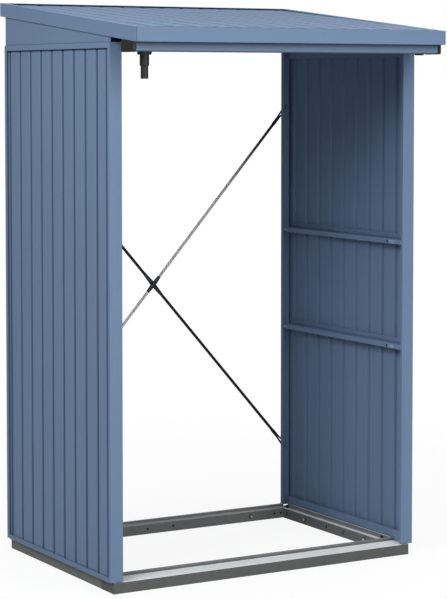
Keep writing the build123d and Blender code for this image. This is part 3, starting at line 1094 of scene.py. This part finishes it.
@dataclass(frozen=True)
class WireBracing:
    """Two stays of doubled wire rope, their eyes, thimbles, sleeves and bolts, and their clip.

    Attributes:
        finishes: the finishes.
        rope: radius of the rope.
        columns: points round it.
        apart: half the distance of a stay's two strands.
        lay: length in which the rope's strands turn once.
        valley: depth of the valleys between them, as a share of the radius.
        step, eye_step, thimble_step: distances of the rows along a stay, an eye and a thimble.
        eye: radius of the rope's middle round a bolt.
        mouth: distance from the bolt to the point where the eye has closed.
        thimble_end: distance from the bolt to the thimble's open ends.
        thimble: clearance of the thimble's inner and of its outer side from the rope.
        thimble_reach: half the angle in radians that the thimble takes round the rope.
        sleeve, sleeve_wall: length and thickness of the pressed sleeve behind an eye.
        sleeve_edge, crimp: what its wall loses at the ends and in the crimps.
        clip_lengths: length of the clip along the rising and the falling stay.
        clip_wall, clip_swell: its thickness at the ends, and what it gains at the crossing.
        clip_edge: what it loses at the very ends.
    """

    finishes: Finishes
    rope: float = 3.0 * MM
    columns: int = 24
    apart: float = 2.85 * MM
    lay: float = 30.0 * MM
    valley: float = 0.05
    step: float = 2.7 * MM
    eye_step: float = 1.8 * MM
    thimble_step: float = 1.6 * MM
    eye: float = 8.5 * MM
    mouth: float = 60.0 * MM
    thimble_end: float = 52.0 * MM
    thimble: tuple[float, float] = (0.05 * MM, 0.75 * MM)
    thimble_reach: float = math.radians(95)
    sleeve: float = 36.0 * MM
    sleeve_wall: float = 1.15 * MM
    sleeve_edge: float = 1.1 * MM
    crimp: float = 0.35 * MM
    clip_lengths: tuple[float, float] = (74.0 * MM, 100.0 * MM)
    clip_wall: float = 1.0 * MM
    clip_swell: float = 2.2 * MM
    clip_edge: float = 0.4 * MM

    def build(self) -> None:
        """Builds both stays, from bolt to bolt, and the clip."""
        clip = Skin()
        for stay, length in zip(Stay, self.clip_lengths):
            names = [stay.end(side) for side in Side]
            ends = [self._bolt_place(f"{name}_bolt", f"brace_{stay.word}_rope") for name in names]
            self._strands(stay, ends)
            for name, place, other in zip(names, ends, ends[::-1]):
                self._eye(f"{name}_eye", place, other, self.finishes.stays[stay])
                EyeBolt(self.finishes).build(f"{name}_bolt", place)
            self._clip_arm(clip, ends, length)
        piece = clip.object("crossing_clip", self.finishes.clip, "black_plastic")
        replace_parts(piece, "brace_clip")

    @staticmethod
    def _bolt_place(bolt: str, rope: str) -> np.ndarray:
        """Point on a bolt's axis in the plane of its stay, by the names of their nodes."""
        x, _, z = box_of(bolt).mean(axis=0)
        return np.array([x, box_of(rope)[:, 1].mean(), z])

    def _laid(self, run: np.ndarray) -> tuple[np.ndarray, np.ndarray]:
        """Outline of a rope of six strands at each distance along it.

        The radius is the rope's, less a share of it in the valleys, and follows the size of the
        cosine of three times the angle. The outline turns once in each lay.

        Args:
            run: distances along the rope.

        Returns:
            Offsets (rows, columns, 2), and the height of each column on its strand, from 0 to 1.
        """
        angle = round_angles(self.columns)
        crown = np.abs(np.cos(3 * angle)) ** 0.8
        radius = self.rope * (1 - self.valley * (1 - crown))
        turned = angle + run[:, None] * (2 * math.pi / self.lay)
        return np.stack([radius * np.cos(turned), radius * np.sin(turned)], axis=-1), crown

    def _strands(self, stay: Stay, ends: Sequence[np.ndarray]) -> None:
        """Builds the two strands of a stay, whose ends lie inside its sleeves.

        Args:
            stay: the stay.
            ends: points on the axes of its bolts.
        """
        along, across, over = axes_between(*ends)
        start = self.mouth + self.sleeve / 2
        length = np.linalg.norm(ends[1] - ends[0]) - 2 * start
        run = np.linspace(0.0, length, round(length / self.step))
        outline, crown = self._laid(run)
        skin = Skin()
        for sign in (-1, 1):
            path = ends[0] + (start + run)[:, None] * along + sign * self.apart * across
            skin.add(carried(path, across, over, outline), crown)
        name, finish = f"stay_{stay.word}_strands", self.finishes.stays[stay]
        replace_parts(skin.object(name, finish, "wire_rope", 80.0), f"brace_{stay.word}_rope")

    def _loop(
        self, place: np.ndarray, axes: Axes, end: float, step: float
    ) -> tuple[np.ndarray, np.ndarray, np.ndarray]:
        """Middle line of an eye, from one side of its mouth round the bolt to the other.

        Two straights touch a circle round the bolt. The line is taken at even steps.

        Args:
            place: point on the bolt's axis.
            axes: the stay's directions.
            end: distance from the bolt at which the line starts and ends.
            step: length of a step.

        Returns:
            Its points (rows, 3), the directions to its left (rows, 3), and the distances along it.
        """
        along, across, _ = axes
        reach = math.hypot(self.mouth, self.apart)
        tilt = math.atan2(self.apart, self.mouth) + math.acos(self.eye / reach)
        arc = np.linspace(tilt, 2 * math.pi - tilt, num=60)
        circle = self.eye * np.stack([np.cos(arc), np.sin(arc)], axis=-1)
        touch, mouth = circle[0], np.array([self.mouth, self.apart])
        start = touch + (mouth - touch) * (end - touch[0]) / (mouth[0] - touch[0])
        line = np.concatenate([[start], circle, [start * (1, -1)]])
        steps = np.linalg.norm(np.diff(line, axis=0), axis=1)
        walked = np.concatenate([[0.0], np.cumsum(steps)])
        run = np.linspace(0.0, walked[-1], round(walked[-1] / step))
        points = np.stack([np.interp(run, walked, line[:, k]) for k in (0, 1)], axis=-1)
        ways = np.gradient(points, run, axis=0)
        ways /= np.linalg.norm(ways, axis=1)[:, None]
        path = place + points[:, :1] * along + points[:, 1:] * across
        return path, ways[:, :1] * across - ways[:, 1:] * along, run

    def _eye(
        self, node: str, place: np.ndarray, other: np.ndarray, finish: bpy.types.Material
    ) -> None:
        """Builds an eye: the rope round the bolt, its thimble and the pressed sleeve behind it.

        Args:
            node: the CAD node that it stands for.
            place: point on the bolt's axis.
            other: point on the axis of the bolt at the stay's other end.
            finish: the rope's finish.
        """
        axes = axes_between(place, other)
        rope, metal = Skin(), Skin()
        path, inward, run = self._loop(place, axes, self.mouth, self.eye_step)
        outline, crown = self._laid(run)
        over = axes[2]
        rope.add(carried(path, inward, over, outline), crown)
        path, inward, _ = self._loop(place, axes, self.thimble_end, self.thimble_step)
        metal.add(carried(path, inward, over, self._thimble_outline()))
        metal.add(self._sleeve(place, axes))
        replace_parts(rope.object(f"{node}_rope", finish, "wire_rope", 80.0), node)
        metal.object(f"{node}_sleeve", self.finishes.sleeve, "black_plastic", 50.0)

    def _thimble_outline(self) -> np.ndarray:
        """Channel round the inner half of the rope: an outer arc and, back again, an inner one.

        Returns:
            Offsets of shape (1, columns, 2).
        """
        angle = np.linspace(-self.thimble_reach, self.thimble_reach, num=13)
        arc = np.stack([np.cos(angle), np.sin(angle)], axis=-1)
        inner, outer = (self.rope + clearance for clearance in self.thimble)
        return np.concatenate([outer * arc, inner * arc[::-1]])[None]

    def _sheath(self, path: np.ndarray, axes: Axes, wall: np.ndarray) -> np.ndarray:
        """Grid of a rounded sheath round both strands, whose wall is given for each row."""
        radius = self.rope + wall
        return carried(path, *axes[1:], rounded_outline(self.apart + radius, radius, radius))

    def _sleeve(self, place: np.ndarray, axes: Axes) -> np.ndarray:
        """Pressed sleeve round both strands: rounded ends and three shallow crimps along it.

        The wall loses the crimp times the eighth power of the sine of three half turns, and
        at the ends the edge times the square of what is left of the last twelfth.

        Args:
            place: point on the bolt's axis.
            axes: the stay's directions.

        Returns:
            Points of shape (rows, columns, 3).
        """
        share = np.linspace(0.0, 1.0, num=49)
        crimps = self.crimp * np.sin(3 * math.pi * share) ** 8
        edges = self.sleeve_edge * (1 - np.minimum(1.0, 12 * np.minimum(share, 1 - share))) ** 2
        path = place + (self.mouth - 2 * self.rope + self.sleeve * share)[:, None] * axes[0]
        return self._sheath(path, axes, self.sleeve_wall - crimps - edges)

    def _clip_arm(self, clip: Skin, ends: Sequence[np.ndarray], length: float) -> None:
        """Adds the clip's arm along one stay.

        Its wall swells by the squared cosine of a quarter turn from each end to the crossing. Over
        the last 7% of the way out it loses the edge times the square of the share passed.

        Args:
            clip: the surfaces it joins.
            ends: points on the axes of the stay's bolts.
            length: its length.
        """
        axes = axes_between(*ends)
        share = np.linspace(-1.0, 1.0, num=41)
        swell = self.clip_swell * np.cos(share * math.pi / 2) ** 2
        edges = self.clip_edge * np.maximum(0.0, 1 - (1 - np.abs(share)) / 0.07) ** 2
        path = (ends[0] + ends[1]) / 2 + (share * length / 2)[:, None] * axes[0]
        clip.add(self._sheath(path, axes, self.clip_wall + swell - edges))


@dataclass(frozen=True)
class Lamp:
    """Square soft lamp.

    Attributes:
        name: its name.
        place: its middle, in metres.
        target: the point it faces.
        size: its side, in metres.
        power: its power in watts.
    """

    name: str
    place: Point
    target: Point
    size: float
    power: float

    def build(self) -> None:
        """Puts the lamp in the scene."""
        data = bpy.data.lights.new(self.name, "AREA")
        data.shape = "SQUARE"
        data.size = self.size
        data.energy = self.power
        lamp = in_scene(self.name, data)
        lamp.location = self.place
        view = Vector(self.target) - Vector(self.place)
        lamp.rotation_euler = view.to_track_quat("-Z", "Y").to_euler()


@dataclass(frozen=True)
class Studio:
    """Pale floor, white backdrop and soft lamps.

    Attributes:
        floor_half: half the floor's side, in metres.
        near, far: distances from the store between which the floor goes over to plain white.
        white: share of plain white that the floor shows near the store.
        floor_grey, shown_grey: what it reflects on the store, and towards the camera.
        sky, ambient: linear colour and strength of the world's light on the store.
        lamps: the lamps.
    """

    floor_half: float = 60.0
    near: float = 1.6
    far: float = 3.6
    white: float = 0.9
    floor_grey: float = 0.46
    shown_grey: float = 0.97
    sky: Colour = (0.88, 0.96, 1.0)
    ambient: float = 0.13
    lamps: Sequence[Lamp] = (
        Lamp("key", (1.0, -5.0, 5.2), (0.0, 0.0, 1.0), 3.0, 72.0),
        Lamp("front_fill", (0.6, -6.0, 2.4), (0.0, 0.0, 0.9), 3.0, 100.0),
        Lamp("left", (-5.4, -3.4, 4.8), (0.0, 0.0, 1.2), 3.0, 210.0),
        Lamp("near_left", (-3.6, -1.2, 4.9), (-0.6, 0.0, 1.0), 2.0, 66.0),
        Lamp("overhead", (0.0, -0.6, 6.8), (0.0, 0.0, 1.0), 3.5, 168.0),
        Lamp("far_side", (5.6, 3.4, 3.2), (0.3, 0.2, 0.9), 3.0, 120.0),
    )

    def build(self) -> None:
        """Builds the floor, the world and the lamps."""
        self._floor()
        self._world()
        for lamp in self.lamps:
            lamp.build()

    def _floor(self) -> None:
        """Builds the flat floor at the store's feet, which keeps its shadow."""
        half = self.floor_half
        mesh = bpy.data.meshes.new("floor")
        corners = [(-half, -half, 0.0), (half, -half, 0.0), (half, half, 0.0), (-half, half, 0.0)]
        mesh.from_pydata(corners, [], [(0, 1, 2, 3)])
        mesh.materials.append(self._floor_material())
        in_scene("floor", mesh)

    def _floor_material(self) -> bpy.types.Material:
        """Pale matt floor; the camera sees it white but for the shadow round the store.

        Returns:
            The material.
        """
        graph = ShaderGraph("floor_white")
        matt, lit = (
            graph.node("ShaderNodeBsdfDiffuse", sockets={"Color": tone((grey,) * 3)})
            for grey in (self.floor_grey, self.shown_grey)
        )
        glow = graph.node("ShaderNodeEmission", sockets={"Color": tone(WHITE)})
        away = graph.node("ShaderNodeVectorMath", {"operation": "LENGTH"}, {0: graph.place()})
        far = graph.out(away, "Value").ramp(self.near, self.far)
        shown = graph.blend(far * (1 - self.white) + self.white, lit, glow)
        seen = graph.out(graph.node("ShaderNodeLightPath"), "Is Camera Ray")
        floor = graph.blend(seen, matt, shown)
        graph.node("ShaderNodeOutputMaterial", sockets={"Surface": graph.out(floor)})
        return graph.material

    def _world(self) -> None:
        """Builds the world, which lights softly and which the camera sees white."""
        world = bpy.data.worlds.new("studio")
        bpy.context.scene.world = world
        graph = ShaderGraph("studio", world)
        path = graph.node("ShaderNodeLightPath")
        seen = graph.out(path, "Is Camera Ray") + graph.out(path, "Is Transmission Ray")
        soft, white = (
            graph.node("ShaderNodeBackground", sockets={"Color": tone(colour), "Strength": power})
            for colour, power in ((self.sky, self.ambient), (WHITE, 1.0))
        )
        mixed = graph.blend(seen, soft, white)
        graph.node("ShaderNodeOutputWorld", sockets={"Surface": graph.out(mixed)})


@dataclass(frozen=True)
class ViewCamera:
    """Camera at the photograph's viewing angle.

    Attributes:
        place: its place in metres.
        yaw: its turn to the right of +Y, in degrees.
        pitch: its tilt below the horizon, in degrees.
        sensor: size of the sensor along the image's long side, in millimetres.
        lens: focal length in millimetres.
        shift: share of the long side by which the frame is shifted, across and up.
    """

    place: Point = (-3.7807, -6.4988, 1.7032)
    yaw: float = 30.334
    pitch: float = 3.298
    sensor: float = 36.0
    lens: float = 126.612
    shift: tuple[float, float] = (-0.0009, -0.16)

    def build(self) -> None:
        """Builds the camera and makes it the scene's own."""
        data = bpy.data.cameras.new("photo_view")
        data.sensor_width = self.sensor
        data.lens = self.lens
        data.shift_x, data.shift_y = self.shift
        camera = in_scene("photo_view", data)
        camera.location = self.place
        camera.rotation_euler = (math.radians(90 - self.pitch), 0.0, math.radians(-self.yaw))
        bpy.context.scene.camera = camera


def main() -> None:
    """Builds the studio and the store, one sub-assembly after another."""
    logging.basicConfig(level=logging.INFO)
    bpy.context.scene.view_settings.view_transform = "Standard"
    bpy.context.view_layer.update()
    ViewCamera().build()
    Studio().build()
    finishes = Finishes()
    for assembly in (
        SideWall(Side.LEFT, finishes), SideWall(Side.RIGHT, finishes),
        Roof(finishes), BaseRing(finishes), WireBracing(finishes),
    ):
        assembly.build()
        LOG.info("built %s", type(assembly).__name__)


if __name__ == "__main__":
    main()
